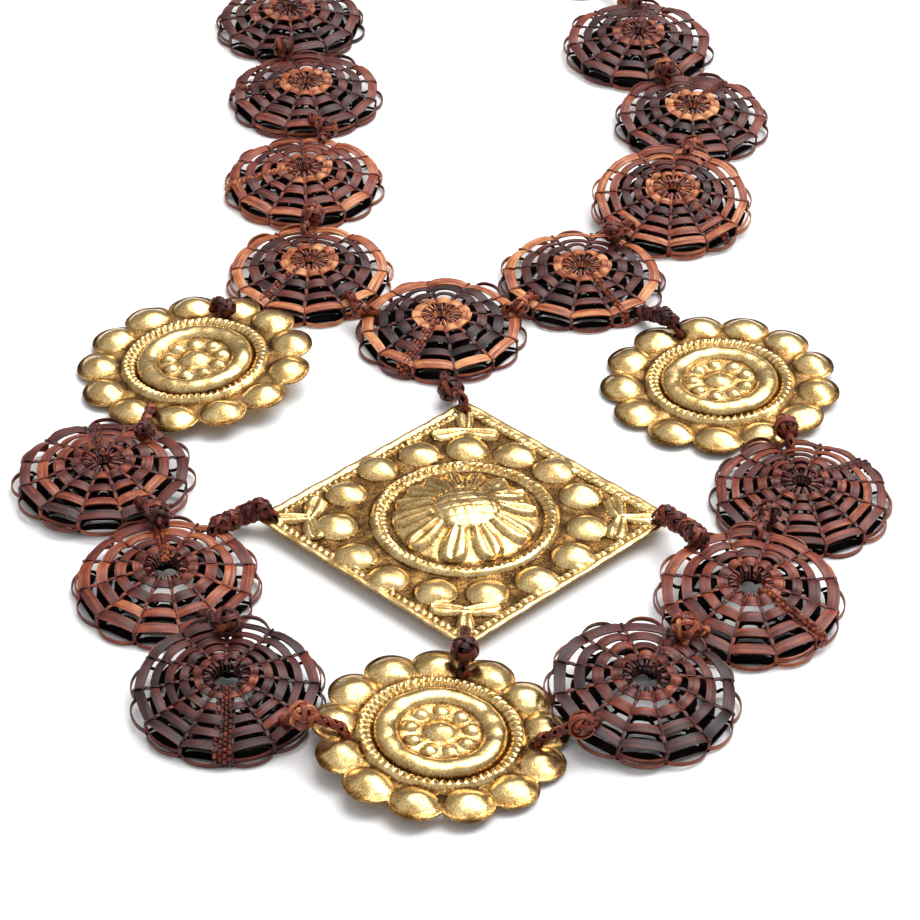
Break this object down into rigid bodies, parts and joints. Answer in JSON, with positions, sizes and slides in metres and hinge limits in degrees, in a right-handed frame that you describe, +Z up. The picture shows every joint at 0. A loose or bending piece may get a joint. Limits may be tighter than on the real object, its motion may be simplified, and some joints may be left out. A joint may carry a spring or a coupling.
{
  "type": "bib necklace",
  "caption": "Bib necklace laid flat: a closed chain of woven fibre rosettes with a lower chain that carries embossed brass medallions round a brass rhombus plate.",
  "frame": {"origin": "on the surface that the necklace lies on, under the middle of its bounding box", "axes": "+Z up off the surface, +Y towards the back of the wearer's neck, +X to the right as seen from above with the neck at the top"},
  "size_m": [0.2118, 0.4172, 0.015],
  "materials": {
    "woven_fibre": "flat plant-fibre strip, dyed plum and reddish brown with undyed tan strips, satin",
    "braided_fibre": "braided and knotted plant-fibre cord, reddish brown, satin",
    "brass": "embossed sheet, polished on the raised work with dark patina in the recesses"
  },
  "bodies": {
    "root": {"rosette_left_0": "woven_fibre", "rosette_left_1": "woven_fibre", "rosette_left_2": "woven_fibre", "rosette_left_3": "woven_fibre", "rosette_left_4": "woven_fibre", "rosette_centre": "woven_fibre", "rosette_right_4": "woven_fibre", "rosette_right_3": "woven_fibre", "rosette_right_2": "woven_fibre", "rosette_right_1": "woven_fibre", "rosette_right_0": "woven_fibre", "rosette_lower_left_1": "woven_fibre", "rosette_lower_left_2": "woven_fibre", "rosette_lower_left_3": "woven_fibre", "rosette_lower_right_1": "woven_fibre", "rosette_lower_right_2": "woven_fibre", "rosette_lower_right_3": "woven_fibre", "medallion_left": "brass", "medallion_right": "brass", "medallion_bottom": "brass", "rhombus_plate": "brass", "tie_left_0_to_left_1": "braided_fibre", "tie_left_1_to_left_2": "braided_fibre", "tie_left_2_to_left_3": "braided_fibre", "tie_left_3_to_left_4": "braided_fibre", "tie_left_4_to_centre": "braided_fibre", "tie_centre_to_right_4": "braided_fibre", "tie_right_4_to_right_3": "braided_fibre", "tie_right_3_to_right_2": "braided_fibre", "tie_right_2_to_right_1": "braided_fibre", "tie_right_1_to_right_0": "braided_fibre", "tie_lower_left_1_to_lower_left_2": "braided_fibre", "tie_lower_left_2_to_lower_left_3": "braided_fibre", "tie_lower_right_1_to_lower_right_2": "braided_fibre", "tie_lower_right_2_to_lower_right_3": "braided_fibre", "tie_left_4_to_medallion_left": "braided_fibre", "tie_lower_left_1_to_medallion_left": "braided_fibre", "tie_right_4_to_medallion_right": "braided_fibre", "tie_lower_right_1_to_medallion_right": "braided_fibre", "tie_centre_to_plate": "braided_fibre", "tie_lower_left_2_to_plate": "braided_fibre", "tie_lower_right_2_to_plate": "braided_fibre", "tie_lower_left_3_to_medallion_bottom": "braided_fibre", "tie_lower_right_3_to_medallion_bottom": "braided_fibre", "tie_plate_to_medallion_bottom": "braided_fibre", "clasp_loop": "braided_fibre", "clasp_hook": "brass"}
  },
  "joints": []
}
